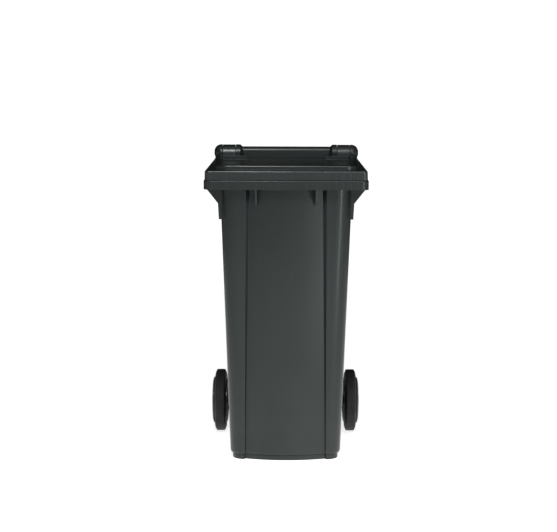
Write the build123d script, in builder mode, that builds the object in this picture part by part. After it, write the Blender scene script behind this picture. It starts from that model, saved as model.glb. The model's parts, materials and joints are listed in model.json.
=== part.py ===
"""A two-wheeled plastic refuse bin of nominal 120 litres.

Millimetres.  +Z is up, the front faces -Y and X runs across the bin.  The origin is on the floor, in
the middle of the overall width and depth.  The tub, its rim, its handle bar and its hinge cheeks are
one moulding.  The lid turns on two pins at the rear, and each wheel is held on a plain steel axle by
a sprung latch that drops into a groove near the axle's end.
"""

import os
from math import radians, sqrt, tan

from build123d import *

# ---------------------------------------------------------------- driving dimensions
OVERALL_WIDTH = 480.0
OVERALL_DEPTH = 550.0
OVERALL_HEIGHT = 930.0

WALL = 4.0  # tub wall
SHEET = 3.5  # lid, rim and deck
RIB = 2.5  # stiffening ribs
GUSSET = 4.0  # gussets under the rim

# Tub: half widths, and depths behind the rim's front or ahead of the handle's rear.
BASE_HALF_WIDTH = 167.5
TOP_HALF_WIDTH = 197.0
BASE_FRONT_SETBACK = 90.0
TOP_FRONT_SETBACK = 44.0
BASE_REAR_SETBACK = 116.0
TOP_REAR_SETBACK = 68.0
BASE_FRONT_RADIUS = 42.0
TOP_FRONT_RADIUS = 44.0
BASE_REAR_RADIUS = 26.0
TOP_REAR_RADIUS = 36.0

# Front panel, set back between the two corner columns and bowed forward.
BASE_PANEL_EDGE = 120.5
TOP_PANEL_EDGE = 107.0
BASE_CREST = 123.0
TOP_CREST = 119.0
BASE_PANEL_STEP = 7.0
TOP_PANEL_STEP = 11.0
BASE_PANEL_BOW = 19.0
TOP_PANEL_BOW = 12.0
PANEL_EDGE_FILLET = 1.5
FLANK_SHARE = 0.7  # how far the panel's flanks move out for each millimetre of inset
LEAST_FLANK = 3.0

PLINTH_HEIGHT = 15.0
PLINTH_INSET = 7.0
PLINTH_WALL = 6.0
PLINTH_HOLLOW = 10.0  # how far the underside is hollowed out
FLOOR = 4.5
SKIRTING_INSET = 5.0  # how far the wall's lower edge turns in
SKIRTING_SHOULDER = 1.6
SKIRTING_HEIGHT = 9.0

# Rim of the tub.
RIM_SKIRT = 27.0
RIM_CORNER_RADIUS = 20.0
RIM_EDGE_FILLET = 3.0
RIM_REAR_BAND = 16.0  # rim behind the tub's rear wall
LID_GAP = 1.5
DECK_GAP = 1.0
COMB_RIB_PITCH = 21.0
COMB_RIBS_EACH_SIDE = 8
COMB_RIB_DROP = 18.0
SIDE_GUSSETS = 4
SIDE_GUSSET_FIRST = 66.0  # behind the front of the rim
SIDE_GUSSET_LAST = 120.0  # ahead of the rim's rear
SIDE_GUSSET_DROP = 93.0
SIDE_GUSSET_SLOPE = 46.0
SIDE_GUSSET_PROUD = 6.0
FRONT_GUSSET_DROP = 50.0

# Hinge and handle.
POD_RADIUS = 26.0
POD_OUTER = 233.0
POD_INNER = 134.0
POD_CONE = 15.0
POD_CONE_TIP = 12.0
POD_DOME = 22.0
LEG_INSET = 5.0
KNUCKLE_RADIUS = 25.5
KNUCKLE_INNER = 165.0
KNUCKLE_WIDTH = 40.0
KNUCKLE_GAP = 1.5
BAR_DEPTH = 30.0
BAR_HEIGHT = 34.0
BAR_RADIUS = 13.0
BAR_LIFT = 2.5
BAR_RIBS = 7
PIN_RADIUS = 6.0
PIN_HEAD_RADIUS = 9.5
PIN_HEAD = 4.0
PIN_BLIND_END = 8.0  # cheek left behind the pin's inner end
PIN_CHAMFER = 1.0
FIT = 0.08  # radial clearance of a running fit

# Lid.
LID_BELOW_HINGE = 17.5  # lid flange top, below the hinge axis
LID_SKIRT = 27.0
LID_INSET = 3.0  # the rim below stands this proud of the lid's skirt
LID_CORNER_RADIUS = 12.0
LID_EDGE_FILLET = 4.0
LID_REAR_TAPER = 5.0  # rim and lid are this much narrower each side at the rear
LID_REAR_GAP = 2.0  # lid's rear edge ahead of the hinge cheeks
SKIRT_DRAFT = 1.6  # degrees
PLATEAU_HEIGHT = 13.0
PLATEAU_FRONT = 38.0
PLATEAU_HALF_FRONT = 212.0
PLATEAU_HALF_REAR = 228.0
PLATEAU_RADIUS = 40.0
PLATEAU_REAR_RADIUS = 6.0
RIDGE = 24.0  # width of the raised border along the front and sides
DISH_DEPTH = 11.0
DISH_REAR = 128.0  # ahead of the rear of the handle
DISH_RADIUS = 22.0
GRIP_FRONT = 250.0  # central recess, ahead of the rear of the handle
GRIP_HALF_FRONT = 119.0
GRIP_HALF_REAR = 129.0
GRIP_RADIUS = 10.0
LID_RIB_DEPTH = 12.0
LID_RIB_X = 88.0

# Running gear.
WHEEL_RADIUS = 100.0
WHEEL_WIDTH = 53.5
AXLE_RADIUS = 10.0
AXLE_SETBACK = 105.0  # axle ahead of the rear of the handle
AXLE_END_GAP = 5.0  # axle end inside the wheel's outer face
AXLE_CHAMFER = 1.5
AXLE_BOSS_RADIUS = 18.0
AXLE_BOSS_LENGTH = 25.0
AXLE_BOSS_WEB = 8.0
INNER_BOSS_X = 60.0
RECESS_HEIGHT = 165.0
RECESS_TOP = 235.0
RECESS_SETBACK = 147.0
SPACER_WALL = 5.0
SPACER_PLAY = 0.4
TYRE_DEPTH = 30.0
TREAD_WIDTH = 25.0
TYRE_WIDTH = 37.0
TYRE_SHIFT = 3.0  # tyre centre inboard of the hub's
HUB_RING = 6.0
HUB_FACE_SETBACK = 3.5
HUB_INNER_SETBACK = 1.0
HUB_LIP = 4.5
HUB_DOME = 3.0  # how far the hub's ring slopes back at its edge
HUB_BOSS = 8.0
WEB = 4.0
SPOKES = 8
CAP_RADIUS = 41.0
CAP_WALL = 2.5
CAP_RIM = 3.0
CAP_DOME = 3.0
LATCH_RADIUS = 4.0
LATCH_LENGTH = 15.5
LATCH_INSET = 14.0  # latch centre in from the wheel's outer face
LATCH_ENGAGE = 1.7  # how far the latch sits below the axle's surface
LATCH_HOUSING = 24.0
GROOVE_PLAY = 0.3
SPRING_HEIGHT = 8.0
SPRING_RADIUS = 3.0
SPRING_WIRE_RADIUS = 0.45
SPRING_TURNS = 5

# ---------------------------------------------------------------- derived places
FRONT = -OVERALL_DEPTH / 2
BACK = OVERALL_DEPTH / 2
HALF = OVERALL_WIDTH / 2
HINGE_Y = BACK - POD_RADIUS
HINGE_Z = OVERALL_HEIGHT - POD_RADIUS
LID_TOP = HINGE_Z - LID_BELOW_HINGE
LID_BOTTOM = LID_TOP - LID_SKIRT
PLATEAU_TOP = LID_TOP + PLATEAU_HEIGHT
DISH_FLOOR = PLATEAU_TOP - DISH_DEPTH
LID_REAR = HINGE_Y - POD_RADIUS - LID_REAR_GAP
DECK_TOP = LID_TOP - SHEET - DECK_GAP
DECK_BOTTOM = DECK_TOP - SHEET
LEDGE = LID_BOTTOM - DECK_GAP
RIM_BOTTOM = LEDGE - RIM_SKIRT
TUB_FRONT = FRONT + TOP_FRONT_SETBACK
TUB_REAR = BACK - TOP_REAR_SETBACK
RIM_REAR = TUB_REAR + RIM_REAR_BAND
SKIRT_LEAN = LID_SKIRT * tan(radians(SKIRT_DRAFT))
NECK_INSET = LID_INSET + SHEET + LID_GAP + SKIRT_LEAN
FLOOR_TOP = PLINTH_HOLLOW + FLOOR
AXLE_Y = BACK - AXLE_SETBACK
AXLE_Z = WHEEL_RADIUS
AXLE_END = HALF - AXLE_END_GAP
RECESS_Y = BACK - RECESS_SETBACK
WHEEL_OUTER = HALF
WHEEL_INNER = WHEEL_OUTER - WHEEL_WIDTH
TYRE_MID = (WHEEL_OUTER + WHEEL_INNER) / 2 - TYRE_SHIFT
HUB_RADIUS = WHEEL_RADIUS - TYRE_DEPTH
HUB_BORE = AXLE_RADIUS + FIT
HUB_FACE = WHEEL_OUTER - HUB_FACE_SETBACK
KNUCKLE_OUTER = KNUCKLE_INNER + KNUCKLE_WIDTH
SLOT_INNER = KNUCKLE_INNER - KNUCKLE_GAP
SLOT_OUTER = KNUCKLE_OUTER + KNUCKLE_GAP
PIN_INNER_END = POD_INNER + PIN_BLIND_END
LATCH_X = WHEEL_OUTER - LATCH_INSET
LATCH_TIP = AXLE_RADIUS - LATCH_ENGAGE
SPRING_BASE = LATCH_TIP + LATCH_LENGTH
LATCH_POCKET = SPRING_BASE + SPRING_HEIGHT
GROOVE_RADIUS = LATCH_TIP - GROOVE_PLAY


def blend(base, top, z):
    """A tub dimension at height z, straight from its base value to its value at the deck."""
    return base + (top - base) * (z - PLINTH_HEIGHT) / (DECK_TOP - PLINTH_HEIGHT)


def tub_outline(z, inset=0.0):
    """The tub's plan outline at height z, drawn inset by the given amount."""
    half = blend(BASE_HALF_WIDTH, TOP_HALF_WIDTH, z) - inset
    front = FRONT + blend(BASE_FRONT_SETBACK, TOP_FRONT_SETBACK, z) + inset
    back = BACK - blend(BASE_REAR_SETBACK, TOP_REAR_SETBACK, z) - inset
    front_radius = blend(BASE_FRONT_RADIUS, TOP_FRONT_RADIUS, z) - inset
    back_radius = blend(BASE_REAR_RADIUS, TOP_REAR_RADIUS, z) - inset
    crest = min(blend(BASE_CREST, TOP_CREST, z) + FLANK_SHARE * inset, half - front_radius - 1)
    edge = min(blend(BASE_PANEL_EDGE, TOP_PANEL_EDGE, z) + FLANK_SHARE * inset, crest - LEAST_FLANK)
    step_y = front + blend(BASE_PANEL_STEP, TOP_PANEL_STEP, z)
    bow_y = step_y - blend(BASE_PANEL_BOW, TOP_PANEL_BOW, z)
    turn = sqrt(0.5)
    with BuildLine() as edges:
        ThreePointArc((-edge, step_y), (0, bow_y), (edge, step_y))
        Line((edge, step_y), (crest, front))
        Line((crest, front), (half - front_radius, front))
        ThreePointArc(
            (half - front_radius, front),
            (half - front_radius * (1 - turn), front + front_radius * (1 - turn)),
            (half, front + front_radius),
        )
        Line((half, front + front_radius), (half, back - back_radius))
        ThreePointArc(
            (half, back - back_radius),
            (half - back_radius * (1 - turn), back - back_radius * (1 - turn)),
            (half - back_radius, back),
        )
        Line((half - back_radius, back), (back_radius - half, back))
        ThreePointArc(
            (back_radius - half, back),
            (back_radius * (1 - turn) - half, back - back_radius * (1 - turn)),
            (-half, back - back_radius),
        )
        Line((-half, back - back_radius), (-half, front + front_radius))
        ThreePointArc(
            (-half, front + front_radius),
            (front_radius * (1 - turn) - half, front + front_radius * (1 - turn)),
            (front_radius - half, front),
        )
        Line((front_radius - half, front), (-crest, front))
        Line((-crest, front), (-edge, step_y))
    return make_face(edges.line)


def rim_outline(inset, radius, rear):
    """A plan outline of the rim or the lid, inset at the front and sides, ending at the given rear."""
    depth = rear - FRONT - inset
    rear_half = HALF - inset - LID_REAR_TAPER * depth / OVERALL_DEPTH
    with BuildSketch(mode=Mode.PRIVATE) as outline:
        with BuildLine():
            Polyline(
                (-(HALF - inset), FRONT + inset),
                (HALF - inset, FRONT + inset),
                (rear_half, rear),
                (-rear_half, rear),
                close=True,
            )
        make_face()
        fillet(outline.vertices().group_by(Axis.Y)[0], radius)
    return outline.sketch


def cross_plane(x):
    """The plane across X at the given place: its own x is the bin's Y and its own y is Z."""
    return Plane(origin=(x, 0, 0), x_dir=(0, 1, 0), z_dir=(1, 0, 0))


def along_x(plane_y, plane_z, upward):
    """The plane for profiles turned about an X axis at the given Y and Z; its own y is the radius."""
    return Plane(origin=(0, plane_y, plane_z), x_dir=(1, 0, 0), z_dir=(0, -1 if upward else 1, 0))


HINGE_PLANE = along_x(HINGE_Y, HINGE_Z, upward=True)
HINGE_AXIS = Axis((0, HINGE_Y, HINGE_Z), (1, 0, 0))
WHEEL_PLANE = along_x(AXLE_Y, AXLE_Z, upward=False)
WHEEL_AXIS = Axis((0, AXLE_Y, AXLE_Z), (1, 0, 0))
BOSS_OUTER = blend(BASE_HALF_WIDTH, TOP_HALF_WIDTH, AXLE_Z) + 0.5


def finish(piece, name):
    """Label a piece and write it."""
    piece.label = name
    export_step(piece, f"parts/{name}.step")
    print(name, round(piece.volume / 1000, 1), "cm3", "valid" if piece.is_valid else "NOT VALID")


os.makedirs("parts", exist_ok=True)

# ---------------------------------------------------------------- tub
# The space inside the tub: a tapered well, stepped in at the lower rear to clear the axle.
with BuildPart() as cavity:
    for height in (FLOOR_TOP, DECK_TOP + 1):
        with BuildSketch(Plane.XY.offset(height)):
            add(tub_outline(height, WALL))
    loft(ruled=True)
    with BuildSketch(cross_plane(0)):
        with BuildLine():
            Polyline(
                (RECESS_Y - WALL, 0),
                (RECESS_Y - WALL, RECESS_HEIGHT + WALL),
                (BACK - blend(BASE_REAR_SETBACK, TOP_REAR_SETBACK, RECESS_TOP), RECESS_TOP + WALL),
                (BACK, RECESS_TOP + WALL),
                (BACK, 0),
                close=True,
            )
        make_face()
    extrude(amount=HALF, both=True, mode=Mode.SUBTRACT)

with BuildPart() as body:
    # Outer skin, with its lower edge turned in over the plinth.
    for height, inset in (
        (PLINTH_HEIGHT, SKIRTING_INSET),
        (PLINTH_HEIGHT + SKIRTING_HEIGHT / 3, SKIRTING_SHOULDER),
        (PLINTH_HEIGHT + SKIRTING_HEIGHT, 0.0),
        (DECK_TOP, 0.0),
    ):
        with BuildSketch(Plane.XY.offset(height)):
            add(tub_outline(height, inset))
    loft(ruled=True)
    creases = body.edges().filter_by(lambda edge: edge.bounding_box().size.Z > OVERALL_HEIGHT / 2)
    creases = creases.filter_by(lambda edge: abs(edge.center().X) < (BASE_CREST + TOP_CREST) / 2 + 2)
    fillet(creases, PANEL_EDGE_FILLET)

    # Plinth that it stands on.
    with BuildSketch():
        add(tub_outline(PLINTH_HEIGHT, PLINTH_INSET))
    extrude(amount=PLINTH_HEIGHT)

    # Deck round the mouth, the neck that the lid's skirt drops over, and the rim below the lid.
    with BuildSketch(Plane.XY.offset(DECK_BOTTOM)):
        add(rim_outline(NECK_INSET, RIM_CORNER_RADIUS - NECK_INSET, RIM_REAR))
    extrude(amount=SHEET)
    with BuildSketch(Plane.XY.offset(LEDGE - SHEET)):
        add(rim_outline(NECK_INSET, RIM_CORNER_RADIUS - NECK_INSET, RIM_REAR))
        add(
            rim_outline(NECK_INSET + SHEET, RIM_CORNER_RADIUS - NECK_INSET - SHEET, RIM_REAR - SHEET),
            mode=Mode.SUBTRACT,
        )
    extrude(amount=DECK_TOP - LEDGE + SHEET)
    with BuildSketch(Plane.XY.offset(LEDGE - SHEET)):
        add(rim_outline(0, RIM_CORNER_RADIUS, RIM_REAR))
        add(
            rim_outline(NECK_INSET + SHEET, RIM_CORNER_RADIUS - NECK_INSET - SHEET, RIM_REAR - SHEET),
            mode=Mode.SUBTRACT,
        )
    extrude(amount=SHEET)
    with BuildSketch(Plane.XY.offset(RIM_BOTTOM)):
        add(rim_outline(0, RIM_CORNER_RADIUS, RIM_REAR))
        add(rim_outline(SHEET, RIM_CORNER_RADIUS - SHEET, RIM_REAR - SHEET), mode=Mode.SUBTRACT)
    extrude(amount=RIM_SKIRT)
    ledge_edges = body.edges().filter_by_position(Axis.Z, LEDGE, LEDGE)
    at_front = ledge_edges.filter_by(lambda edge: edge.bounding_box().min.Y < FRONT + 1)
    at_sides = ledge_edges.filter_by(lambda edge: abs(edge.center().X) > HALF - LID_REAR_TAPER)
    fillet(at_front + at_sides, RIM_EDGE_FILLET)

    add(cavity.part, mode=Mode.SUBTRACT)

    # Hollow under the floor, and the recess for the axle across the lower rear.
    with BuildSketch():
        add(tub_outline(PLINTH_HEIGHT, PLINTH_INSET + PLINTH_WALL))
    extrude(amount=PLINTH_HOLLOW, mode=Mode.SUBTRACT)
    with BuildSketch(cross_plane(0)):
        with BuildLine():
            Polyline(
                (RECESS_Y, 0),
                (RECESS_Y, RECESS_HEIGHT),
                (BACK - blend(BASE_REAR_SETBACK, TOP_REAR_SETBACK, RECESS_TOP), RECESS_TOP),
                (BACK, RECESS_TOP),
                (BACK, 0),
                close=True,
            )
        make_face()
    extrude(amount=HALF, both=True, mode=Mode.SUBTRACT)
    with Locations((0, RECESS_Y - PLINTH_WALL / 2, PLINTH_HEIGHT / 2)):
        Box(2 * (BASE_HALF_WIDTH - PLINTH_INSET) - 2, PLINTH_WALL, PLINTH_HEIGHT)

    # Shallow ribs under the deck between the front wall and the neck, where a lifting comb hooks in.
    for step in range(-COMB_RIBS_EACH_SIDE, COMB_RIBS_EACH_SIDE + 1):
        with BuildSketch(cross_plane(step * COMB_RIB_PITCH)):
            with BuildLine():
                Polyline(
                    (FRONT + NECK_INSET + SHEET / 2, DECK_BOTTOM + SHEET / 2),
                    (FRONT + NECK_INSET + SHEET / 2, DECK_BOTTOM - COMB_RIB_DROP),
                    (TUB_FRONT + WALL / 2, DECK_BOTTOM - COMB_RIB_DROP / 3),
                    (TUB_FRONT + WALL / 2, DECK_BOTTOM + SHEET / 2),
                    close=True,
                )
            make_face()
        extrude(amount=RIB / 2, both=True)

    # Front gussets, level with the ribs in the lid.
    for side in (-1, 1):
        with BuildSketch(cross_plane(side * LID_RIB_X)):
            with BuildLine():
                Polyline(
                    (FRONT + SHEET / 2, LEDGE - SHEET / 2),
                    (FRONT + SHEET / 2, RIM_BOTTOM + 2 * RIB),
                    (FRONT + TOP_FRONT_SETBACK / 2, RIM_BOTTOM - FRONT_GUSSET_DROP / 3),
                    (TUB_FRONT + WALL / 2, RIM_BOTTOM - FRONT_GUSSET_DROP),
                    (TUB_FRONT + TOP_PANEL_STEP, RIM_BOTTOM - FRONT_GUSSET_DROP),
                    (TUB_FRONT + TOP_PANEL_STEP, LEDGE - SHEET / 2),
                    close=True,
                )
            make_face()
        extrude(amount=GUSSET / 2, both=True)

    # Side gussets: a sloping web under the rim, then a shallow rib down the wall.
    spacing = (OVERALL_DEPTH - SIDE_GUSSET_FIRST - SIDE_GUSSET_LAST) / (SIDE_GUSSETS - 1)
    for index in range(SIDE_GUSSETS):
        reach = SIDE_GUSSET_FIRST + index * spacing
        edge_x = HALF - SHEET / 2 - LID_REAR_TAPER * reach / OVERALL_DEPTH
        foot = blend(BASE_HALF_WIDTH, TOP_HALF_WIDTH, RIM_BOTTOM - SIDE_GUSSET_DROP)
        for side in (-1, 1):
            with BuildSketch(Plane.XZ.offset(-(FRONT + reach))):
                with BuildLine():
                    Polyline(
                        (side * (foot - WALL / 2), LEDGE - SHEET / 2),
                        (side * edge_x, LEDGE - SHEET / 2),
                        (side * edge_x, RIM_BOTTOM + 1),
                        (side * (foot + SIDE_GUSSET_PROUD + RIB), RIM_BOTTOM - SIDE_GUSSET_SLOPE),
                        (side * (foot + SIDE_GUSSET_PROUD), RIM_BOTTOM - SIDE_GUSSET_DROP),
                        (side * (foot - WALL / 2), RIM_BOTTOM - SIDE_GUSSET_DROP),
                        close=True,
                    )
                make_face()
            extrude(amount=GUSSET / 2, both=True)

    # Hinge pods, each turned about the hinge axis, with a leg down to the rim.
    with BuildSketch(HINGE_PLANE) as pod_profile:
        with BuildLine():
            Polyline(
                (POD_OUTER - POD_DOME, POD_RADIUS),
                (POD_INNER + POD_CONE, POD_RADIUS),
                (POD_INNER, POD_CONE_TIP),
                (POD_INNER, 0),
                (POD_OUTER, 0),
                (POD_OUTER, POD_RADIUS - POD_DOME),
            )
            RadiusArc(
                (POD_OUTER, POD_RADIUS - POD_DOME),
                (POD_OUTER - POD_DOME, POD_RADIUS),
                -POD_DOME,
            )
        make_face()
        mirror(about=Plane.YZ)
    revolve(axis=HINGE_AXIS)
    for side in (-1, 1):
        for inner, outer in (
            (POD_INNER + LEG_INSET, SLOT_INNER),
            (SLOT_OUTER, POD_OUTER - LEG_INSET),
        ):
            with BuildSketch(cross_plane(side * inner)):
                with BuildLine():
                    Polyline(
                        (RIM_REAR - SHEET / 2, RIM_BOTTOM + LEG_INSET),
                        (RIM_REAR - SHEET / 2, DECK_TOP + KNUCKLE_GAP),
                        (HINGE_Y - 0.84 * POD_RADIUS, HINGE_Z - 0.54 * POD_RADIUS),
                        (HINGE_Y, HINGE_Z),
                        (HINGE_Y + LEG_INSET / 2, HINGE_Z - POD_RADIUS + 0.4),
                        (RIM_REAR + 2 * LEG_INSET, RIM_BOTTOM + LEG_INSET),
                        close=True,
                    )
                make_face()
            extrude(amount=side * (outer - inner))

    # Grip bar between the pods, and the web that ties it to the rim.
    with BuildSketch(cross_plane(0)):
        with Locations((HINGE_Y, HINGE_Z + BAR_LIFT)):
            RectangleRounded(BAR_DEPTH, BAR_HEIGHT, BAR_RADIUS)
    extrude(amount=POD_INNER + POD_CONE / 2, both=True)
    with BuildSketch(cross_plane(0)):
        with BuildLine():
            Polyline(
                (HINGE_Y - BAR_DEPTH / 2, HINGE_Z),
                (HINGE_Y - BAR_DEPTH / 2 + SHEET, HINGE_Z),
                (HINGE_Y - BAR_DEPTH / 2 + SHEET, DECK_TOP - 3 * SHEET),
                (RIM_REAR, RIM_BOTTOM + 4 * SHEET),
                (RIM_REAR - SHEET, RIM_BOTTOM + 4 * SHEET),
                (RIM_REAR - SHEET, RIM_BOTTOM + 6 * SHEET),
                (HINGE_Y - BAR_DEPTH / 2, DECK_TOP - 2 * SHEET),
                close=True,
            )
        make_face()
    extrude(amount=POD_INNER + LEG_INSET + 1, both=True)

    # The bar is hollow, open below, with cross ribs.
    with BuildSketch(cross_plane(0)):
        with Locations((HINGE_Y, HINGE_Z + BAR_LIFT)):
            RectangleRounded(BAR_DEPTH - 2 * SHEET, BAR_HEIGHT - 2 * SHEET, BAR_RADIUS - SHEET)
        with Locations((HINGE_Y, HINGE_Z + BAR_LIFT - BAR_HEIGHT / 2)):
            Rectangle(BAR_DEPTH / 2, BAR_HEIGHT / 2)
    extrude(amount=POD_INNER, both=True, mode=Mode.SUBTRACT)
    for index in range(BAR_RIBS):
        place = (index - (BAR_RIBS - 1) / 2) * 2 * POD_INNER / (BAR_RIBS + 1)
        with BuildSketch(cross_plane(place)):
            with Locations((HINGE_Y, HINGE_Z + BAR_LIFT)):
                RectangleRounded(BAR_DEPTH - 1, BAR_HEIGHT - 1, BAR_RADIUS - 1)
        extrude(amount=RIB / 2, both=True)

    # Slots for the lid's knuckles, and the pin bores with a counterbore for the head.
    for side in (-1, 1):
        with BuildSketch(cross_plane(side * SLOT_INNER)):
            with Locations((HINGE_Y, HINGE_Z)):
                Circle(POD_RADIUS + 1)
        extrude(amount=side * (SLOT_OUTER - SLOT_INNER), mode=Mode.SUBTRACT)
        with BuildSketch(cross_plane(side * PIN_INNER_END)):
            with Locations((HINGE_Y, HINGE_Z)):
                Circle(PIN_RADIUS)
        extrude(amount=side * (POD_OUTER - PIN_INNER_END + 1), mode=Mode.SUBTRACT)
        with BuildSketch(cross_plane(side * (POD_OUTER - PIN_HEAD))):
            with Locations((HINGE_Y, HINGE_Z)):
                Circle(PIN_HEAD_RADIUS + FIT)
        extrude(amount=side * (PIN_HEAD + 1), mode=Mode.SUBTRACT)

    # Axle carriers: a ring on a web at each side of the recess, and two more between.
    for side in (-1, 1):
        for start, length in (
            (BOSS_OUTER - AXLE_BOSS_LENGTH, AXLE_BOSS_LENGTH),
            (INNER_BOSS_X - AXLE_BOSS_WEB / 2, AXLE_BOSS_WEB),
        ):
            with BuildSketch(cross_plane(side * start)):
                with BuildLine():
                    Polyline(
                        (RECESS_Y - WALL / 2, AXLE_Z - 2.6 * AXLE_BOSS_RADIUS),
                        (RECESS_Y - WALL / 2, RECESS_HEIGHT),
                        (AXLE_Y + AXLE_BOSS_RADIUS, AXLE_Z),
                        (AXLE_Y, AXLE_Z - AXLE_BOSS_RADIUS),
                        close=True,
                    )
                make_face()
            extrude(amount=side * min(length, AXLE_BOSS_WEB))
            with BuildSketch(cross_plane(side * start)):
                with Locations((AXLE_Y, AXLE_Z)):
                    Circle(AXLE_BOSS_RADIUS)
            extrude(amount=side * length)
    with BuildSketch(WHEEL_PLANE):
        Rectangle(2 * BOSS_OUTER + 2, AXLE_RADIUS, align=(Align.CENTER, Align.MIN))
    revolve(axis=WHEEL_AXIS, mode=Mode.SUBTRACT)
finish(body.part, "body")
print("inside of the tub to the brim:", round(cavity.part.volume / 1e6, 1), "litres")

# ---------------------------------------------------------------- lid


def plateau_outline(inset, radius, rear):
    """The raised middle of the lid, wider at the rear, inset all round but the rear."""
    front = FRONT + PLATEAU_FRONT + inset
    with BuildSketch(mode=Mode.PRIVATE) as outline:
        with BuildLine():
            Polyline(
                (inset - PLATEAU_HALF_FRONT, front),
                (PLATEAU_HALF_FRONT - inset, front),
                (PLATEAU_HALF_REAR - inset, rear),
                (inset - PLATEAU_HALF_REAR, rear),
                close=True,
            )
        make_face()
        fillet(outline.vertices().group_by(Axis.Y)[0], radius)
        fillet(outline.vertices().group_by(Axis.Y)[-1], PLATEAU_REAR_RADIUS)
    return outline.sketch


def grip_outline(spread):
    """The central recess in front of the handle, widened by the given amount."""
    with BuildSketch(mode=Mode.PRIVATE) as outline:
        with BuildLine():
            Polyline(
                (-GRIP_HALF_FRONT - spread, BACK - GRIP_FRONT - spread),
                (GRIP_HALF_FRONT + spread, BACK - GRIP_FRONT - spread),
                (GRIP_HALF_REAR + spread, BACK),
                (-GRIP_HALF_REAR - spread, BACK),
                close=True,
            )
        make_face()
        fillet(outline.vertices().group_by(Axis.Y)[0], GRIP_RADIUS)
    return outline.sketch


# The space under the lid's raised parts.
with BuildPart() as lid_void:
    with BuildSketch(Plane.XY.offset(LID_TOP - 2 * SHEET)):
        add(plateau_outline(SHEET, PLATEAU_RADIUS - SHEET, LID_REAR - SHEET))
    extrude(amount=PLATEAU_HEIGHT + SHEET)
    with BuildSketch(Plane.XY.offset(DISH_FLOOR - SHEET)):
        add(plateau_outline(RIDGE - SHEET, DISH_RADIUS + SHEET, BACK - DISH_REAR + SHEET))
    extrude(amount=DISH_DEPTH + SHEET, mode=Mode.SUBTRACT)
    with BuildSketch(Plane.XY.offset(LID_TOP - SHEET)):
        add(grip_outline(SHEET))
    extrude(amount=PLATEAU_HEIGHT + SHEET, mode=Mode.SUBTRACT)

with BuildPart() as lid:
    # Flange and skirt, drafted so that the skirt is widest at its lower edge.
    for height, inset in ((LID_BOTTOM, LID_INSET), (LID_TOP, LID_INSET + SKIRT_LEAN)):
        with BuildSketch(Plane.XY.offset(height)):
            add(rim_outline(inset, LID_CORNER_RADIUS, LID_REAR))
    loft()
    fillet(lid.edges().group_by(Axis.Z)[-1], LID_EDGE_FILLET)
    for height, lean in ((LID_BOTTOM, 0), (LID_TOP - SHEET, SKIRT_LEAN)):
        with BuildSketch(Plane.XY.offset(height)):
            add(rim_outline(LID_INSET + SHEET + lean, LID_CORNER_RADIUS - SHEET, BACK))
    loft(mode=Mode.SUBTRACT)

    # Raised middle with its dished panel, and the recess in front of the handle.
    with BuildSketch(Plane.XY.offset(LID_TOP - SHEET)):
        add(plateau_outline(0, PLATEAU_RADIUS, LID_REAR))
    extrude(amount=PLATEAU_HEIGHT + SHEET)
    fillet(lid.edges().group_by(Axis.Z)[-1], LID_EDGE_FILLET)
    with BuildSketch(Plane.XY.offset(DISH_FLOOR)):
        add(plateau_outline(RIDGE, DISH_RADIUS, BACK - DISH_REAR))
    extrude(amount=DISH_DEPTH, mode=Mode.SUBTRACT)
    with BuildSketch(Plane.XY.offset(LID_TOP)):
        add(grip_outline(0))
    extrude(amount=PLATEAU_HEIGHT, mode=Mode.SUBTRACT)
    add(lid_void.part, mode=Mode.SUBTRACT)

    # Ribs under the panel, inside the mouth of the tub.
    rib_length = TUB_REAR - TUB_FRONT - 2 * TOP_REAR_RADIUS
    rib_y = (TUB_REAR + TUB_FRONT) / 2
    with Locations(
        (LID_RIB_X, rib_y, DISH_FLOOR - SHEET - LID_RIB_DEPTH / 2),
        (-LID_RIB_X, rib_y, DISH_FLOOR - SHEET - LID_RIB_DEPTH / 2),
    ):
        Box(RIB, rib_length, LID_RIB_DEPTH)
    with Locations(
        (0, rib_y - rib_length / 3, DISH_FLOOR - SHEET - LID_RIB_DEPTH / 2),
        (0, rib_y + rib_length / 3, DISH_FLOOR - SHEET - LID_RIB_DEPTH / 2),
    ):
        Box(4 * LID_RIB_X, RIB, LID_RIB_DEPTH)

    # Hinge arms and knuckles.
    for side in (-1, 1):
        with BuildSketch(cross_plane(side * KNUCKLE_INNER)):
            with Locations((HINGE_Y, HINGE_Z)):
                Circle(KNUCKLE_RADIUS)
            with BuildLine():
                Polyline(
                    (HINGE_Y, HINGE_Z + KNUCKLE_RADIUS),
                    (HINGE_Y - KNUCKLE_RADIUS / 2, HINGE_Z + 0.86 * KNUCKLE_RADIUS),
                    (LID_REAR - SHEET, PLATEAU_TOP - RIB),
                    (LID_REAR - SHEET, LID_TOP - SHEET),
                    (RIM_REAR + 2 * SHEET, LID_TOP - SHEET),
                    (HINGE_Y, HINGE_Z - KNUCKLE_RADIUS),
                    close=True,
                )
            make_face()
        extrude(amount=side * KNUCKLE_WIDTH)
        with BuildSketch(cross_plane(side * KNUCKLE_INNER)):
            with Locations((HINGE_Y, HINGE_Z)):
                Circle(PIN_RADIUS + FIT)
        extrude(amount=side * KNUCKLE_WIDTH, mode=Mode.SUBTRACT)
finish(lid.part, "lid")

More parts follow.
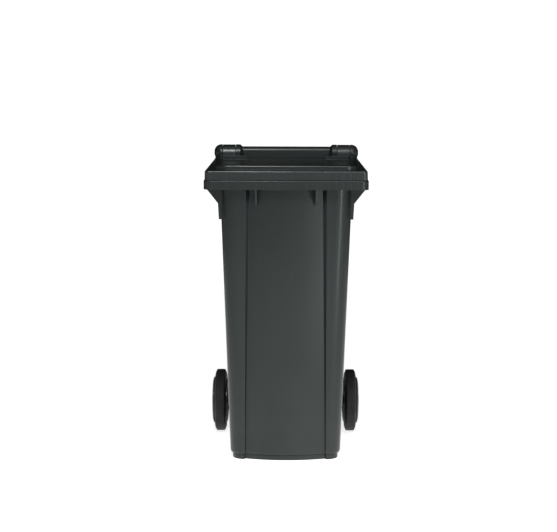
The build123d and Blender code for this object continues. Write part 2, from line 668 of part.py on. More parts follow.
# ---------------------------------------------------------------- axle and pins
with BuildPart() as axle:
    with BuildSketch(WHEEL_PLANE):
        with BuildLine():
            Polyline(
                (-AXLE_END, 0),
                (-AXLE_END, AXLE_RADIUS - AXLE_CHAMFER),
                (AXLE_CHAMFER - AXLE_END, AXLE_RADIUS),
                (AXLE_END - AXLE_CHAMFER, AXLE_RADIUS),
                (AXLE_END, AXLE_RADIUS - AXLE_CHAMFER),
                (AXLE_END, 0),
                close=True,
            )
        make_face()
        for side in (-1, 1):
            groove_half = LATCH_RADIUS + GROOVE_PLAY
            with Locations((side * LATCH_X, GROOVE_RADIUS)):
                Rectangle(
                    2 * groove_half,
                    2 * AXLE_RADIUS,
                    align=(Align.CENTER, Align.MIN),
                    mode=Mode.SUBTRACT,
                )
    revolve(axis=WHEEL_AXIS)
finish(axle.part, "axle")


def hinge_pin(side):
    """A headed pin, pressed into both cheeks, on which a knuckle turns."""
    with BuildPart() as pin:
        with BuildSketch(HINGE_PLANE):
            with BuildLine():
                Polyline(
                    (side * PIN_INNER_END, 0),
                    (side * PIN_INNER_END, PIN_RADIUS - PIN_CHAMFER),
                    (side * (PIN_INNER_END + PIN_CHAMFER), PIN_RADIUS),
                    (side * (POD_OUTER - PIN_HEAD), PIN_RADIUS),
                    (side * (POD_OUTER - PIN_HEAD), PIN_HEAD_RADIUS),
                    (side * (POD_OUTER - PIN_CHAMFER), PIN_HEAD_RADIUS),
                    (side * POD_OUTER, PIN_HEAD_RADIUS - PIN_CHAMFER),
                    (side * POD_OUTER, 0),
                    close=True,
                )
            make_face()
        revolve(axis=HINGE_AXIS)
    return pin.part


def spacer(side):
    """A sleeve on the axle between the tub and the wheel."""
    start = BOSS_OUTER
    end = WHEEL_INNER - SPACER_PLAY
    with BuildPart() as sleeve:
        with BuildSketch(WHEEL_PLANE):
            with Locations((side * (start + end) / 2, AXLE_RADIUS + SPACER_WALL / 2)):
                Rectangle(end - start, SPACER_WALL)
        revolve(axis=WHEEL_AXIS)
    return sleeve.part


def tyre(side):
    """A solid tyre with a flat tread and rounded sidewalls."""
    tread = TREAD_WIDTH / 2
    wide = TYRE_WIDTH / 2
    bead = wide - RIB
    with BuildPart() as ring:
        with BuildSketch(WHEEL_PLANE):
            with BuildLine():
                Polyline(
                    (side * (TYRE_MID + bead), HUB_RADIUS),
                    (side * (TYRE_MID - bead), HUB_RADIUS),
                )
                for end in (-1, 1):
                    ThreePointArc(
                        (side * (TYRE_MID + end * bead), HUB_RADIUS),
                        (side * (TYRE_MID + end * wide), HUB_RADIUS + TYRE_DEPTH / 3),
                        (side * (TYRE_MID + end * (tread + 1.5)), WHEEL_RADIUS - 3),
                    )
                    ThreePointArc(
                        (side * (TYRE_MID + end * (tread + 1.5)), WHEEL_RADIUS - 3),
                        (side * (TYRE_MID + end * (tread + 0.2)), WHEEL_RADIUS - 0.9),
                        (side * (TYRE_MID + end * (tread - 2)), WHEEL_RADIUS - 0.2),
                    )
                ThreePointArc(
                    (side * (TYRE_MID - tread + 2), WHEEL_RADIUS - 0.2),
                    (side * TYRE_MID, WHEEL_RADIUS),
                    (side * (TYRE_MID + tread - 2), WHEEL_RADIUS - 0.2),
                )
            make_face()
        revolve(axis=WHEEL_AXIS)
    return ring.part


def hub(side):
    """A moulded hub: boss, dished web with windows, ring under the tyre and the latch housing."""
    bead = TYRE_WIDTH / 2
    inner_edge = WHEEL_INNER + HUB_INNER_SETBACK
    ring_inner = HUB_RADIUS - HUB_RING
    boss = HUB_BORE + HUB_BOSS
    face = HUB_FACE
    lip = face - HUB_DOME
    web_back = HUB_FACE - 2 * WEB - 1
    with BuildPart() as wheel:
        with BuildSketch(WHEEL_PLANE):
            with BuildLine():
                Polyline(
                    (side * WHEEL_INNER, HUB_BORE),
                    (side * WHEEL_INNER, boss),
                    (side * web_back, boss + 1),
                    (side * web_back, CAP_RADIUS),
                    (side * (web_back - WEB), ring_inner),
                    (side * inner_edge, ring_inner),
                    (side * inner_edge, HUB_RADIUS - 1),
                    (side * (inner_edge + 1), HUB_RADIUS),
                    (side * (TYRE_MID + bead - RIB), HUB_RADIUS),
                    (side * (TYRE_MID + bead + RIB), HUB_RADIUS + HUB_LIP),
                    (side * (lip - 1), HUB_RADIUS + HUB_LIP),
                    (side * lip, HUB_RADIUS + HUB_LIP - 1),
                    (side * face, ring_inner + 1),
                    (side * (face - WEB), ring_inner - 2),
                    (side * (face - WEB), CAP_RADIUS + 3),
                    (side * (face - WEB / 2), CAP_RADIUS + 1),
                    (side * (face - WEB / 2), CAP_RADIUS + FIT),
                    (side * (face - CAP_RIM), CAP_RADIUS + FIT),
                    (side * (face - CAP_RIM), HUB_BORE),
                    close=True,
                )
            make_face()
        revolve(axis=WHEEL_AXIS)

        # Housing round the latch and its spring.
        with BuildSketch(cross_plane(side * (LATCH_X - LATCH_RADIUS - 2 * RIB))):
            with Locations((AXLE_Y, AXLE_Z)):
                Rectangle(LATCH_HOUSING, LATCH_POCKET + RIB, align=(Align.CENTER, Align.MIN))
                Circle(boss)
        extrude(amount=side * (face - CAP_RIM - LATCH_X + LATCH_RADIUS + 2 * RIB))

        # Windows between the spokes.
        with BuildSketch(cross_plane(side * (web_back - 2 * WEB))):
            with Locations((AXLE_Y, AXLE_Z)):
                with PolarLocations((CAP_RADIUS + ring_inner) / 2 + 1, SPOKES, start_angle=180 / SPOKES):
                    SlotOverall(26, 11, rotation=90)
        extrude(amount=side * 5 * WEB, mode=Mode.SUBTRACT)

        # Radial ribs behind the web.
        for index in range(SPOKES):
            with BuildSketch(cross_plane(side * (WHEEL_INNER + 2 * RIB))):
                with Locations((AXLE_Y, AXLE_Z)):
                    with Locations(Rotation(0, 0, index * 360 / SPOKES)):
                        with Locations(((boss + ring_inner) / 2, 0)):
                            Rectangle(ring_inner - boss + 2, RIB)
            extrude(amount=side * (web_back - WEB / 2 - WHEEL_INNER - 2 * RIB))

        # Axle bore, latch pocket, the seat of the cap's skirt.
        with BuildSketch(cross_plane(side * (WHEEL_INNER - 1))):
            with Locations((AXLE_Y, AXLE_Z)):
                Circle(HUB_BORE)
        extrude(amount=side * WHEEL_WIDTH, mode=Mode.SUBTRACT)
        with BuildSketch(Plane.XY.offset(AXLE_Z)):
            with Locations((side * LATCH_X, AXLE_Y)):
                Circle(LATCH_RADIUS + FIT)
        extrude(amount=LATCH_POCKET, mode=Mode.SUBTRACT)
    return wheel.part


def hub_cap(side):
    """A shallow domed cap pressed into the hub's face, over the axle end."""
    face = HUB_FACE - CAP_RIM
    rim = WHEEL_OUTER - CAP_DOME
    with BuildPart() as cap:
        with BuildSketch(WHEEL_PLANE):
            with BuildLine():
                Polyline(
                    (side * (WHEEL_OUTER - CAP_WALL), 0),
                    (side * WHEEL_OUTER, 0),
                )
                ThreePointArc(
                    (side * WHEEL_OUTER, 0),
                    (side * (WHEEL_OUTER - CAP_DOME / 4), CAP_RADIUS / 2),
                    (side * rim, CAP_RADIUS - 1),
                )
                Polyline(
                    (side * rim, CAP_RADIUS - 1),
                    (side * (rim - 1), CAP_RADIUS),
                    (side * face, CAP_RADIUS),
                    (side * face, CAP_RADIUS - CAP_WALL),
                    (side * (rim - CAP_WALL), CAP_RADIUS - CAP_WALL),
                    (side * (WHEEL_OUTER - CAP_WALL), 0),
                )
            make_face()
        revolve(axis=WHEEL_AXIS)
    return cap.part


def latch_pin(side):
    """A round-nosed pin that stands in the hub and drops into the axle's groove."""
    with BuildPart() as latch:
        with BuildSketch(Plane.XY.offset(AXLE_Z + LATCH_TIP)):
            with Locations((side * LATCH_X, AXLE_Y)):
                Circle(LATCH_RADIUS)
        extrude(amount=LATCH_LENGTH)
        chamfer(latch.edges().group_by(Axis.Z)[0], 1)
    return latch.part


def latch_spring(side):
    """A small compression spring between the latch and the end of its pocket."""
    height = SPRING_HEIGHT - 2 * SPRING_WIRE_RADIUS
    start = AXLE_Z + SPRING_BASE + SPRING_WIRE_RADIUS
    with BuildPart() as spring:
        with BuildLine(Plane(origin=(side * LATCH_X, AXLE_Y, start))):
            coil = Helix(height / SPRING_TURNS, height, SPRING_RADIUS)
        with BuildSketch(Plane(coil @ 0, z_dir=coil % 0)):
            Circle(SPRING_WIRE_RADIUS)
        sweep(path=coil)
    return spring.part


for side, name in ((-1, "left"), (1, "right")):
    finish(hinge_pin(side), f"hinge_pin_{name}")
    finish(spacer(side), f"spacer_{name}")
    finish(tyre(side), f"tyre_{name}")
    finish(hub(side), f"hub_{name}")
    finish(hub_cap(side), f"hub_cap_{name}")
    finish(latch_pin(side), f"latch_pin_{name}")
    finish(latch_spring(side), f"latch_spring_{name}")
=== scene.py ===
# %% [markdown]
# # A two-wheeled refuse bin
# This notebook dresses a finished model of a plastic bin. The moulded parts, the axle and the wheels are
# loaded as they are, already in metres and already in place. What is added here is what a maker would
# call the finish: moulded plastic, rubber and zinc, a studio to see them in, and a camera.

# %% Load the model
import json
import math

import bpy
from mathutils import Matrix, Vector


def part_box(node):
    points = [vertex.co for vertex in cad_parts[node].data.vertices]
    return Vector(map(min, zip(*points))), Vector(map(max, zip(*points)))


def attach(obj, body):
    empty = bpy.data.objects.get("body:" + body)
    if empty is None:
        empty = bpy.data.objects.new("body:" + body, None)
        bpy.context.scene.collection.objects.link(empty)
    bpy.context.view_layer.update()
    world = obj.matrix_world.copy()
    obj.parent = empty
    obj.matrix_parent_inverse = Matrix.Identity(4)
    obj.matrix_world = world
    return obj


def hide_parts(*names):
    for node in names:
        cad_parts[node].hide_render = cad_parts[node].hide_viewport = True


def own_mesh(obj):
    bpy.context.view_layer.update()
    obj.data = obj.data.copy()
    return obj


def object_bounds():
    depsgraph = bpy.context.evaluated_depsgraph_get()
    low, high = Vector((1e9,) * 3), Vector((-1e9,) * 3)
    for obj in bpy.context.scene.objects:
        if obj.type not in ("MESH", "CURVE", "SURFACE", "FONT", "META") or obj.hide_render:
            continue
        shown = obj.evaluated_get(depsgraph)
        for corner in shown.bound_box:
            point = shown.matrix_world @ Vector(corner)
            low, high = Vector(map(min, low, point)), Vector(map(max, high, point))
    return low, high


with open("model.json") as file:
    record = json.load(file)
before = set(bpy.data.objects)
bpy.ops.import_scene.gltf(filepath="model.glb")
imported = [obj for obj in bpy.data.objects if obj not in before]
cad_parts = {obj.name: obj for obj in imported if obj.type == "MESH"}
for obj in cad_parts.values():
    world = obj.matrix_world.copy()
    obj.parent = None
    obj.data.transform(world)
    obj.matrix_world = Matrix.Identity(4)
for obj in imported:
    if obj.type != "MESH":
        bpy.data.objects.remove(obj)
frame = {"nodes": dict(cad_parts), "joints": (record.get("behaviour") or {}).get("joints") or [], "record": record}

model_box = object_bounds()
low, high = (Vector(corner) for corner in model_box)
print("pieces:", ", ".join(sorted(frame["nodes"])))
print("overall size in millimetres:", [round(1000 * side) for side in high - low])

# %% [markdown]
# ## Camera
# The bin is seen square on from the front, from a little above the lid and from about four metres away.
# A long lens at that distance keeps the sides nearly parallel. The camera is tilted down, so the tapered
# tub looks a little narrower at its foot than a drawing would show.

# %% Set up the camera
CAMERA_DISTANCE = 4.065
CAMERA_HEIGHT = 1.220
CAMERA_TILT = math.radians(8.54)
LENS = 91.2
SENSOR = 36.0
SIDE_SHIFT = -0.0133
CAMERA_ROLL = math.radians(0.2)

camera_data = bpy.data.cameras.new("camera")
camera_data.lens = LENS
camera_data.sensor_width = SENSOR
camera_data.shift_x = SIDE_SHIFT
camera = bpy.data.objects.new("camera", camera_data)
camera.location = (0.0, low.y - CAMERA_DISTANCE, CAMERA_HEIGHT)
aim = Matrix.Rotation(math.pi / 2 - CAMERA_TILT, 3, "X") @ Matrix.Rotation(CAMERA_ROLL, 3, "Z")
camera.rotation_euler = aim.to_euler()
bpy.context.scene.collection.objects.link(camera)
bpy.context.scene.camera = camera
print("camera", round(camera.location.length, 2), "m from the foot of the bin")

# %% [markdown]
# ## Floor
# The floor is a plain matte disc. It could be a square or an endless plane, but a disc has no corners that
# come into view when the camera moves. It glows a little, so it stays white out to its edge and the shadow
# of the bin stays soft and pale.

# %% Build the floor
FLOOR_RADIUS = 3.0
FLOOR_CORNERS = 96
FLOOR_SHADE = 0.9
FLOOR_GLOW = 0.80


def white_floor():
    """A round matte floor, bright near the bin, with only a soft shadow on it."""
    material = bpy.data.materials.new("studio_white")
    material.use_nodes = True
    shader = material.node_tree.nodes["Principled BSDF"]
    shader.inputs["Base Color"].default_value = (FLOOR_SHADE, FLOOR_SHADE, FLOOR_SHADE, 1.0)
    shader.inputs["Roughness"].default_value = 0.9
    shader.inputs["Emission Color"].default_value = (1.0, 1.0, 1.0, 1.0)
    shader.inputs["Emission Strength"].default_value = FLOOR_GLOW
    corners = []
    for step in range(FLOOR_CORNERS):
        turn = math.tau * step / FLOOR_CORNERS
        corners.append((FLOOR_RADIUS * math.cos(turn), FLOOR_RADIUS * math.sin(turn), 0.0))
    mesh = bpy.data.meshes.new("floor")
    mesh.from_pydata(corners, [], [tuple(range(FLOOR_CORNERS))])
    mesh.materials.append(material)
    floor = bpy.data.objects.new("floor", mesh)
    floor.location.z = low.z
    bpy.context.scene.collection.objects.link(floor)


white_floor()
print("floor", 2 * FLOOR_RADIUS, "m across")

# %% [markdown]
# ## Surround
# Dark satin plastic has almost no colour of its own, so what shows its shape is what it reflects. The camera
# sees a plain white backdrop, but the same white all round would turn the flat tops of the lid grey. So
# the bin is given a surround of its own to reflect, in bands by height. It is bright at the horizon, which
# lights the upright faces, and dark above that and behind the bin, which keeps the lid's top dark.

# %% Light the surround
BACKDROP = 1.1
# Height, from -1 straight down to 1 straight up, and brightness there.
SKY_STOPS = (
    (-1.0, 0.22), (-0.10, 0.18), (-0.03, 1.05), (0.03, 1.05), (0.08, 0.05), (0.5, 0.05), (1.0, 0.5)
)
BEHIND = 0.06  # share of the brightness that is left behind the bin
FADE_STARTS = -0.2
FADE_ENDS = 0.5


def surround_light(stops):
    """A white backdrop for the camera, and for the bin a surround of the given brightness by height."""
    world = bpy.data.worlds.new("surround")
    world.use_nodes = True
    tree = world.node_tree
    backdrop = tree.nodes["Background"]
    backdrop.inputs["Color"].default_value = (1.0, 1.0, 1.0, 1.0)
    backdrop.inputs["Strength"].default_value = BACKDROP
    direction = tree.nodes.new("ShaderNodeTexCoord").outputs["Generated"]
    height = tree.nodes.new("ShaderNodeSeparateXYZ")
    tree.links.new(direction, height.inputs["Vector"])
    share = tree.nodes.new("ShaderNodeMapRange")
    share.inputs["From Min"].default_value = -1.0
    tree.links.new(height.outputs["Z"], share.inputs["Value"])
    bands = tree.nodes.new("ShaderNodeValToRGB")
    while len(bands.color_ramp.elements) < len(stops):
        bands.color_ramp.elements.new(0.5)
    for element, (level, brightness) in zip(bands.color_ramp.elements, stops):
        element.position = (level + 1) / 2
        element.color = (brightness, brightness, brightness, 1.0)
    tree.links.new(share.outputs["Result"], bands.inputs["Fac"])
    sky = tree.nodes.new("ShaderNodeBackground")
    tree.links.new(bands.outputs["Color"], sky.inputs["Color"])
    side = tree.nodes.new("ShaderNodeMapRange")
    side.interpolation_type = "SMOOTHSTEP"
    side.inputs["From Min"].default_value = FADE_STARTS
    side.inputs["From Max"].default_value = FADE_ENDS
    side.inputs["To Min"].default_value = 1.0
    side.inputs["To Max"].default_value = BEHIND
    tree.links.new(height.outputs["Y"], side.inputs["Value"])
    tree.links.new(side.outputs["Result"], sky.inputs["Strength"])
    seen = tree.nodes.new("ShaderNodeLightPath").outputs["Is Camera Ray"]
    either = tree.nodes.new("ShaderNodeMixShader")
    tree.links.new(seen, either.inputs["Fac"])
    tree.links.new(sky.outputs["Background"], either.inputs[1])
    tree.links.new(backdrop.outputs["Background"], either.inputs[2])
    tree.links.new(either.outputs["Shader"], tree.nodes["World Output"].inputs["Surface"])
    bpy.context.scene.world = world


surround_light(SKY_STOPS)
print("surround with", len(SKY_STOPS), "bands")

# %% [markdown]
# ## Lamps
# Three softboxes add what the surround can't. A tall narrow strip to the right of the camera draws the
# bright lines down the rounded corners. A slim lamp high in front catches the ledges of the lid and the
# rim. A broad one beside it lights the handle bar and lets the rim throw a soft shadow on the tub.

# %% Place the lamps
LAMP_AIM = 0.8  # height that the lamps point at, as a share of the bin's
# Name, bearing and rise in degrees, distance and size in metres, and power in watts.
LAMPS = (
    ("strip", 38.0, 0.0, 2.2, (0.20, 1.5), 14),
    ("front", -5.0, 40.0, 2.6, (0.25, 1.1), 30),
    ("broad", 12.0, 42.0, 2.6, (2.2, 1.2), 24),
)


def softbox(name, bearing, rise, distance, size, power):
    """A lamp that faces the bin, from a bearing right of the camera and a rise above level, in degrees."""
    target = Vector((0.0, low.y, LAMP_AIM * high.z))
    across, up = math.radians(bearing), math.radians(rise)
    way = Vector((math.sin(across) * math.cos(up), -math.cos(across) * math.cos(up), math.sin(up)))
    lamp = bpy.data.lights.new(name, "AREA")
    lamp.shape = "RECTANGLE"
    lamp.size, lamp.size_y = size
    lamp.energy = power
    box = bpy.data.objects.new(name, lamp)
    box.location = target + distance * way
    box.rotation_euler = (-way).to_track_quat("-Z", "Y").to_euler()
    bpy.context.scene.collection.objects.link(box)


for lamp_settings in LAMPS:
    softbox(*lamp_settings)
bpy.context.scene.view_settings.view_transform = "Standard"
print("lamps:", ", ".join(settings[0] for settings in LAMPS))

# %% [markdown]
# ## Helpers for materials
# Every finish below is worked out from a point's place on the piece, in metres, so nothing has to be
# unwrapped and the grain keeps its real size. A few short helpers keep the node trees readable. The first
# ones start a material and say where on the piece a point is.

# %% Start a material and find the place


def start_material(name):
    """A new material; returns it with its node tree and its shader."""
    material = bpy.data.materials.new(name)
    material.use_nodes = True
    tree = material.node_tree
    return material, tree, tree.nodes["Principled BSDF"]


def place(tree):
    """The point's place on the piece, in metres."""
    return tree.nodes.new("ShaderNodeTexCoord").outputs["Object"]


def stretched(tree, vector, scale):
    """A place with each axis scaled."""
    mapping = tree.nodes.new("ShaderNodeMapping")
    mapping.inputs["Scale"].default_value = scale
    tree.links.new(vector, mapping.inputs["Vector"])
    return mapping.outputs["Vector"]


def axes_of(tree, vector):
    """The three parts of a place."""
    node = tree.nodes.new("ShaderNodeSeparateXYZ")
    tree.links.new(vector, node.inputs["Vector"])
    return node.outputs


print("helpers for places are ready")

# %% [markdown]
# Real surfaces are never even. Soft noise stands in for patches, streaks and grain, and a range or a little
# arithmetic turns it into the share of one colour over another.

# %% Vary a value over the surface


def noise(tree, vector, scale, detail=3.0, roughness=0.5):
    """Soft noise from 0 to 1, with so many blotches to the metre."""
    node = tree.nodes.new("ShaderNodeTexNoise")
    node.inputs["Scale"].default_value = scale
    node.inputs["Detail"].default_value = detail
    node.inputs["Roughness"].default_value = roughness
    tree.links.new(vector, node.inputs["Vector"])
    return node.outputs["Fac"]


def ramp(tree, value, start, end, low_value=0.0, high_value=1.0):
    """A value mapped from one range to another and held at the ends."""
    node = tree.nodes.new("ShaderNodeMapRange")
    node.clamp = True
    numbers = {"From Min": start, "From Max": end, "To Min": low_value, "To Max": high_value}
    for socket, number in numbers.items():
        node.inputs[socket].default_value = number
    tree.links.new(value, node.inputs["Value"])
    return node.outputs["Result"]


def maths(tree, operation, first, second=0.0):
    """Arithmetic on one or two values, each a socket or a number."""
    node = tree.nodes.new("ShaderNodeMath")
    node.operation = operation
    for socket, value in zip(node.inputs, (first, second)):
        if isinstance(value, (int, float)):
            socket.default_value = value
        else:
            tree.links.new(value, socket)
    return node.outputs["Value"]


def mix_colour(tree, factor, first, second):
    """A blend of two colours, each a socket or three numbers."""
    node = tree.nodes.new("ShaderNodeMix")
    node.data_type = "RGBA"
    tree.links.new(factor, node.inputs["Factor"])
    for socket, colour in zip((node.inputs[6], node.inputs[7]), (first, second)):
        if isinstance(colour, tuple):
            socket.default_value = (*colour, 1.0)
        else:
            tree.links.new(colour, socket)
    return node.outputs[2]


print("helpers for values and colours are ready")

# %% [markdown]
# No moulded edge is perfectly sharp. A bevel node rounds the normals at every edge without touching the
# mesh, and the amount that it turns them also shows where an edge is, for wear.

# %% Round the edges and add relief
BEVEL_SAMPLES = 6
FLAT = 0.995  # cosine of the turn at which wear starts
ON_EDGE = 0.90  # and where it is full


def rounded_edges(tree, radius):
    """Normals as if every sharp edge had this radius, in metres."""
    node = tree.nodes.new("ShaderNodeBevel")
    node.samples = BEVEL_SAMPLES
    node.inputs["Radius"].default_value = radius
    return node.outputs["Normal"]


def edge_mask(tree, normal):
    """Near 1 on an edge and 0 on a flat, from how far the rounded normal has turned."""
    geometry = tree.nodes.new("ShaderNodeNewGeometry")
    turn = tree.nodes.new("ShaderNodeVectorMath")
    turn.operation = "DOT_PRODUCT"
    tree.links.new(geometry.outputs["Normal"], turn.inputs[0])
    tree.links.new(normal, turn.inputs[1])
    return ramp(tree, turn.outputs["Value"], FLAT, ON_EDGE)


def bump(tree, height, normal, depth, strength):
    """Relief of a real depth in metres laid over a normal."""
    node = tree.nodes.new("ShaderNodeBump")
    node.inputs["Strength"].default_value = strength
    node.inputs["Distance"].default_value = depth
    tree.links.new(height, node.inputs["Height"])
    tree.links.new(normal, node.inputs["Normal"])
    return node.outputs["Normal"]


print("helpers for edges and relief are ready")

# %% [markdown]
# ## Sink marks
# Ribs stand behind the front band of the rim and the lid, and where a rib joins a wall the plastic shrinks
# more and leaves a faint hollow. Such marks are a few hundredths of a millimetre deep, too shallow to be
# worth modelling, so they are relief in the material. Two fine lines are where the mould's inserts met.

# %% Draw the sink marks
RIB_PITCH = 0.021
SINK_WIDTH = 0.3
LINE_PLACE = 0.088
LINE_WIDTH = 0.0015
LINE_DEPTH = -0.6
BAND_FADES_FROM = 0.03
BAND_FULL_FROM = 0.02
RIM_BELOW_LID = 0.028
rim_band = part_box("lid")[0][2] - RIM_BELOW_LID


def sink_marks(tree, point):
    """Faint hollows in the front band of the rim and the lid, where ribs stand behind it."""
    across, along, height = axes_of(tree, point)[:3]
    wave = maths(tree, "SINE", maths(tree, "MULTIPLY", across, math.pi / RIB_PITCH))
    ribs = ramp(tree, maths(tree, "ABSOLUTE", wave), 0.0, SINK_WIDTH)
    away = maths(tree, "SUBTRACT", maths(tree, "ABSOLUTE", across), LINE_PLACE)
    line = ramp(tree, maths(tree, "ABSOLUTE", away), 0.0, LINE_WIDTH, LINE_DEPTH, 0.0)
    near_front = ramp(tree, along, low.y + BAND_FADES_FROM, low.y + BAND_FULL_FROM)
    in_band = ramp(tree, height, rim_band - 0.002, rim_band)
    marks = maths(tree, "ADD", ribs, line)
    return maths(tree, "MULTIPLY", marks, maths(tree, "MULTIPLY", near_front, in_band))


print("sink marks every", 1000 * RIB_PITCH, "mm from a height of", round(rim_band, 3), "m up")

# %% [markdown]
# ## Moulded plastic
# The tub and the lid are injection moulded in polyethylene, coloured right through. The steel mould leaves
# a fine satin grain, and the skin is slightly wavy where thick and thin walls shrank by different amounts.
# Rain leaves faint vertical streaks, dust gathers low down, and edges polish lighter where they are knocked.
# A rough base under a glossier coat does what one roughness can't: broad soft light on the flats, and crisp
# lines along the curves.

# %% Mix the moulded plastic
PLASTIC_EDGE = 0.0014
BLOTCH_SCALE = 7.0
STREAK_STRETCH = (60.0, 60.0, 2.5)
GRAIN_SCALE = 1100.0
GRAIN_DEPTH = 0.00006
WAVE_SCALE = 22.0
WAVE_DEPTH = 0.0006
RELIEF = 0.35
SINK_DEPTH = 0.0004
SINK_RELIEF = 0.8
LIGHTER = 1.5
DUST_COLOUR = (0.16, 0.15, 0.14)
MOST_DUST = 0.12
COAT_ROUGHNESS = 0.17
COAT_IOR = 1.4
PLASTIC_IOR = 1.42
SHINE_TINT = (0.86, 1.0, 0.98, 1.0)


def moulded_plastic(name, colour, worn_colour, roughness, dust_top, gloss=0.3, ribbed=False):
    """Satin moulded plastic with grain, shrinkage, streaks, dust towards the floor and worn edges."""
    material, tree, shader = start_material(name)
    point = place(tree)
    soft = rounded_edges(tree, PLASTIC_EDGE)
    blotches = noise(tree, point, BLOTCH_SCALE, 4.0)
    streaks = noise(tree, stretched(tree, point, STREAK_STRETCH), 1.0, 3.0)
    grain = noise(tree, point, GRAIN_SCALE, 2.0)
    waves = noise(tree, point, WAVE_SCALE, 2.0)

    lighter = tuple(LIGHTER * channel for channel in colour)
    base = mix_colour(tree, blotches, colour, lighter)
    streaked = mix_colour(tree, ramp(tree, streaks, 0.55, 0.85, 0.0, 0.06), base, worn_colour)
    height = axes_of(tree, point)["Z"]
    low_down = ramp(tree, height, dust_top, 0.0, 0.0, MOST_DUST)
    dust = maths(tree, "MULTIPLY", low_down, ramp(tree, blotches, 0.2, 0.8))
    dusty = mix_colour(tree, dust, streaked, DUST_COLOUR)
    edges = maths(tree, "MULTIPLY", edge_mask(tree, soft), ramp(tree, blotches, 0.35, 0.65, 0.1, 0.6))
    tree.links.new(mix_colour(tree, edges, dusty, worn_colour), shader.inputs["Base Color"])

    rough = ramp(tree, blotches, 0.0, 1.0, roughness - 0.05, roughness + 0.06)
    tree.links.new(rough, shader.inputs["Roughness"])
    shader.inputs["Coat Weight"].default_value = gloss
    shader.inputs["Coat Roughness"].default_value = COAT_ROUGHNESS
    shader.inputs["Coat IOR"].default_value = COAT_IOR
    shader.inputs["Specular Tint"].default_value = SHINE_TINT
    shader.inputs["IOR"].default_value = PLASTIC_IOR
    wavy = bump(tree, waves, soft, WAVE_DEPTH, RELIEF)
    if ribbed:
        wavy = bump(tree, sink_marks(tree, point), wavy, SINK_DEPTH, SINK_RELIEF)
    tree.links.new(bump(tree, grain, wavy, GRAIN_DEPTH, RELIEF), shader.inputs["Normal"])
    return material


finishes = {}
print("plastic grain of about", round(1000 / GRAIN_SCALE, 1), "mm")

# %% [markdown]
# The two big mouldings share one charcoal, the lid a touch darker and shinier, because its flat top came out
# of a smoother mould. Hubs, pins and latches are separate small mouldings in their own colours.

# %% Make the plastics
CHARCOAL_WORN = (0.05, 0.055, 0.054)
DUST_ON_TUB = 0.30
DUST_ON_HUB = 0.2

finishes["tub_plastic"] = moulded_plastic(
    "charcoal_tub", (0.0065, 0.0078, 0.0076), CHARCOAL_WORN, 0.42, DUST_ON_TUB, 0.25, ribbed=True
)
finishes["lid_plastic"] = moulded_plastic(
    "charcoal_lid", (0.0055, 0.0069, 0.0068), CHARCOAL_WORN, 0.38, 0.0, 0.55, ribbed=True
)
finishes["hub_plastic"] = moulded_plastic(
    "black_hub", (0.006, 0.006, 0.006), (0.04, 0.04, 0.04), 0.45, DUST_ON_HUB
)
finishes["pin_plastic"] = moulded_plastic(
    "black_pin", (0.015, 0.016, 0.016), (0.08, 0.08, 0.08), 0.4, 0.0
)
finishes["latch_plastic"] = moulded_plastic(
    "grey_latch", (0.26, 0.26, 0.25), (0.4, 0.4, 0.39), 0.35, 0.0
)
print("plastics:", ", ".join(sorted(finishes)))

# %% [markdown]
# ## Rubber
# The tyres are solid rubber. New rubber is black and almost matte; in use its tread scuffs grey and picks up
# grit. Two noises do it: wide patches for the scuffs and the shine, and a fine one for grit that is also
# the relief.

# %% Make the rubber
RUBBER_EDGE = 0.001
RUBBER_BLACK = (0.004, 0.004, 0.004)
RUBBER_SCUFFED = (0.010, 0.010, 0.0095)
GRIT_COLOUR = (0.026, 0.025, 0.024)
GRIT_SCALE = 420.0
GRIT_DEPTH = 0.0004
PATCH_SCALE = 35.0


def tyre_rubber(name):
    """Black rubber, scuffed and gritty."""
    material, tree, shader = start_material(name)
    point = place(tree)
    soft = rounded_edges(tree, RUBBER_EDGE)
    grit = noise(tree, point, GRIT_SCALE, 4.0, 0.7)
    patches = noise(tree, point, PATCH_SCALE, 4.0)
    scuffs = ramp(tree, patches, 0.4, 0.75, 0.0, 0.7)
    scuffed = mix_colour(tree, scuffs, RUBBER_BLACK, RUBBER_SCUFFED)
    gritty = mix_colour(tree, ramp(tree, grit, 0.55, 0.72, 0.0, 0.5), scuffed, GRIT_COLOUR)
    tree.links.new(gritty, shader.inputs["Base Color"])
    tree.links.new(ramp(tree, patches, 0.3, 0.7, 0.62, 0.85), shader.inputs["Roughness"])
    tree.links.new(bump(tree, grit, soft, GRIT_DEPTH, 0.8), shader.inputs["Normal"])
    return material


finishes["tyre_rubber"] = tyre_rubber("black_rubber")
print("rubber:", finishes["tyre_rubber"].name)

# %% [markdown]
# ## Zinc-plated steel
# The axle is a drawn bar. Drawing leaves fine lines along its length, and the zinc on it is dull and
# slightly cloudy. The lines come from noise that is stretched along the bar, so they need no unwrapping.

# %% Make the plated steel
STEEL_EDGE = 0.0004
CLOUD_SCALE = 90.0
DRAWN_STRETCH = (30.0, 1500.0, 1500.0)
DRAWN_DEPTH = 0.00003
CLOUDED = 0.7


def plated_steel(name, colour):
    """Drawn steel with a cloudy zinc coat."""
    material, tree, shader = start_material(name)
    point = place(tree)
    soft = rounded_edges(tree, STEEL_EDGE)
    clouds = noise(tree, point, CLOUD_SCALE, 4.0)
    lines = noise(tree, stretched(tree, point, DRAWN_STRETCH), 1.0, 2.0)
    dull = tuple(CLOUDED * channel for channel in colour)
    clear = ramp(tree, clouds, 0.3, 0.7)
    tree.links.new(mix_colour(tree, clear, dull, colour), shader.inputs["Base Color"])
    tree.links.new(ramp(tree, clouds, 0.3, 0.7, 0.5, 0.3), shader.inputs["Roughness"])
    tree.links.new(bump(tree, lines, soft, DRAWN_DEPTH, 0.6), shader.inputs["Normal"])
    shader.inputs["Metallic"].default_value = 1.0
    return material


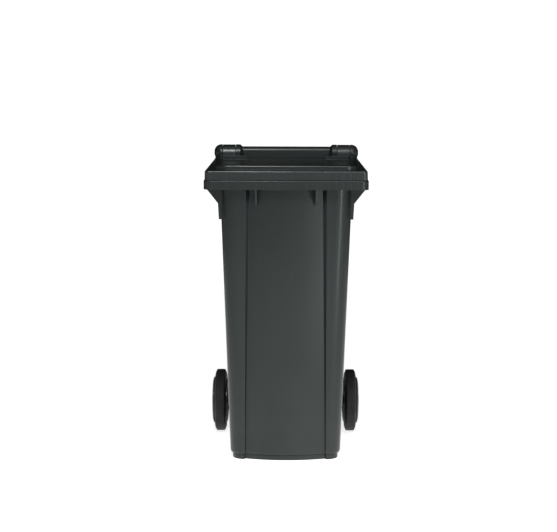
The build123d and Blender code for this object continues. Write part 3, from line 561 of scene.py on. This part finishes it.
finishes["axle_steel"] = plated_steel("zinc_axle", (0.56, 0.56, 0.54))
finishes["spring_steel"] = plated_steel("spring_wire", (0.62, 0.62, 0.61))
print("metals:", finishes["axle_steel"].name, "and", finishes["spring_steel"].name)

# %% [markdown]
# ## Put the finishes on
# The model's record names a material slot for every piece. Going by the slot, and not by the piece, gives
# both wheels the same finish without naming each part of them.

# %% Put each finish on its pieces
slots = {part["node"]: part["material_slot"] for part in frame["record"]["subparts"]}
for node, piece in frame["nodes"].items():
    piece.data.materials.clear()
    piece.data.materials.append(finishes[slots[node]])
print("finished", len(slots), "pieces")

# %% [markdown]
# ## Latch springs
# Behind each latch pin a small coil spring pushes it into the groove of the axle, and when a tool lifts the
# pin the coil shortens. Each spring is wound again here as a piece of its own, because only a mesh of its
# own can flatten. A line of points with a round bevel gives an even wire along any path, so the coil is
# drawn as such a line and then turned into a mesh.

# %% Draw a coil of wire
SPRING_TURNS = 5
POINTS_PER_TURN = 24
WIRE_RADIUS = 0.00045
WIRE_ROUNDNESS = 3


def coil_mesh(name, middle, radius, start, end):
    """The mesh of an even coil round an upright line, from the start height to the end height."""
    steps = SPRING_TURNS * POINTS_PER_TURN
    line = bpy.data.curves.new(name, "CURVE")
    line.dimensions = "3D"
    line.bevel_depth = WIRE_RADIUS
    line.bevel_resolution = WIRE_ROUNDNESS
    line.use_fill_caps = True
    wire = line.splines.new("POLY")
    wire.points.add(steps)
    for step, point in enumerate(wire.points):
        turn = math.tau * step / POINTS_PER_TURN
        across, along = radius * math.cos(turn), radius * math.sin(turn)
        height = start + (end - start) * step / steps
        point.co = (middle.x + across, middle.y + along, height, 1.0)
    drawn = bpy.data.objects.new(name, line)
    bpy.context.scene.collection.objects.link(drawn)
    bpy.context.view_layer.update()
    mesh = bpy.data.meshes.new_from_object(drawn)
    bpy.data.objects.remove(drawn)
    for face in mesh.polygons:
        face.use_smooth = True
    return mesh


print("a coil of", SPRING_TURNS, "turns has", SPRING_TURNS * POINTS_PER_TURN + 1, "points")

# %% [markdown]
# The spring takes its place and size from the solid it stands for. Its upper end rests in the hub, so it rides on
# the wheel. On the real bin it shortens towards that end by as much as the latch can slide.
# Here only the share of its length that it would keep is worked out; the coil stays at full length.

# %% Fit the springs


def wound_spring(side):
    """A coil in the place of the solid spring; returns the share of its length that it would keep when the latch
    has lifted all the way.
    """
    low_corner, high_corner = (Vector(corner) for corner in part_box(f"latch_spring_{side}"))
    middle = (low_corner + high_corner) / 2
    radius = (high_corner.x - low_corner.x) / 2 - WIRE_RADIUS
    start, end = low_corner.z + WIRE_RADIUS, high_corner.z - WIRE_RADIUS
    mesh = coil_mesh(f"spring_line_{side}", middle, radius, start, end)
    mesh.materials.clear()
    mesh.materials.append(finishes["spring_steel"])
    spring = bpy.data.objects.new(f"coil_spring_{side}", mesh)
    bpy.context.scene.collection.objects.link(spring)
    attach(spring, f"wheel_{side}")
    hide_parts(f"latch_spring_{side}")
    latch = next(joint for joint in frame["joints"] if joint["name"] == f"latch_{side}_slide")
    keep = 1 - latch["range_m"][1] / (high_corner.z - low_corner.z)
    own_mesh(spring)
    return keep


for side in ("left", "right"):
    print(side, "spring shortens to", round(100 * wound_spring(side)), "percent")
